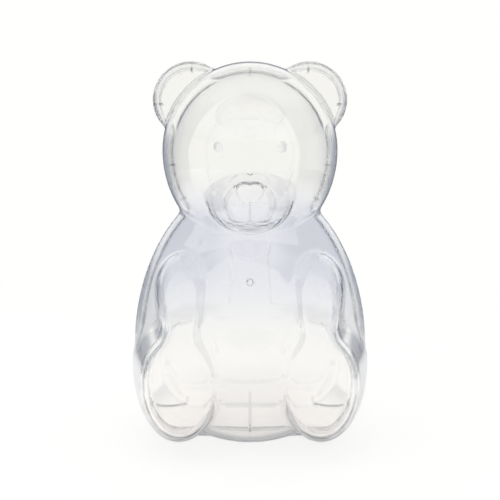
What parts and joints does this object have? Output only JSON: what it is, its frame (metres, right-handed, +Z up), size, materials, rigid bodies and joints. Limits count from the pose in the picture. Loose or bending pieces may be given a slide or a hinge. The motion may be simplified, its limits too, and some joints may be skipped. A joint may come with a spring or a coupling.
{
  "type": "bear-shaped candy container",
  "caption": "Clear moulded container in the shape of a seated teddy bear, front and back half shells that pull apart at an upright seam with an inner lip.",
  "frame": {"origin": "centre of the bounding box on the plane that the container stands on", "axes": "+Z up, front (the face) towards -Y, +X towards the viewer's right"},
  "size_m": [0.0804, 0.0692, 0.13],
  "materials": {
    "front_clear": "clear glossy moulded polystyrene",
    "back_clear": "clear glossy moulded polystyrene"
  },
  "bodies": {
    "front": {"front_shell": "front_clear"},
    "back": {"back_shell": "back_clear"}
  },
  "joints": [
    {"name": "front_pull", "type": "slide", "parent": "back", "child": "front", "axis": [0, -1, 0], "range_m": [0, 0.06]}
  ]
}
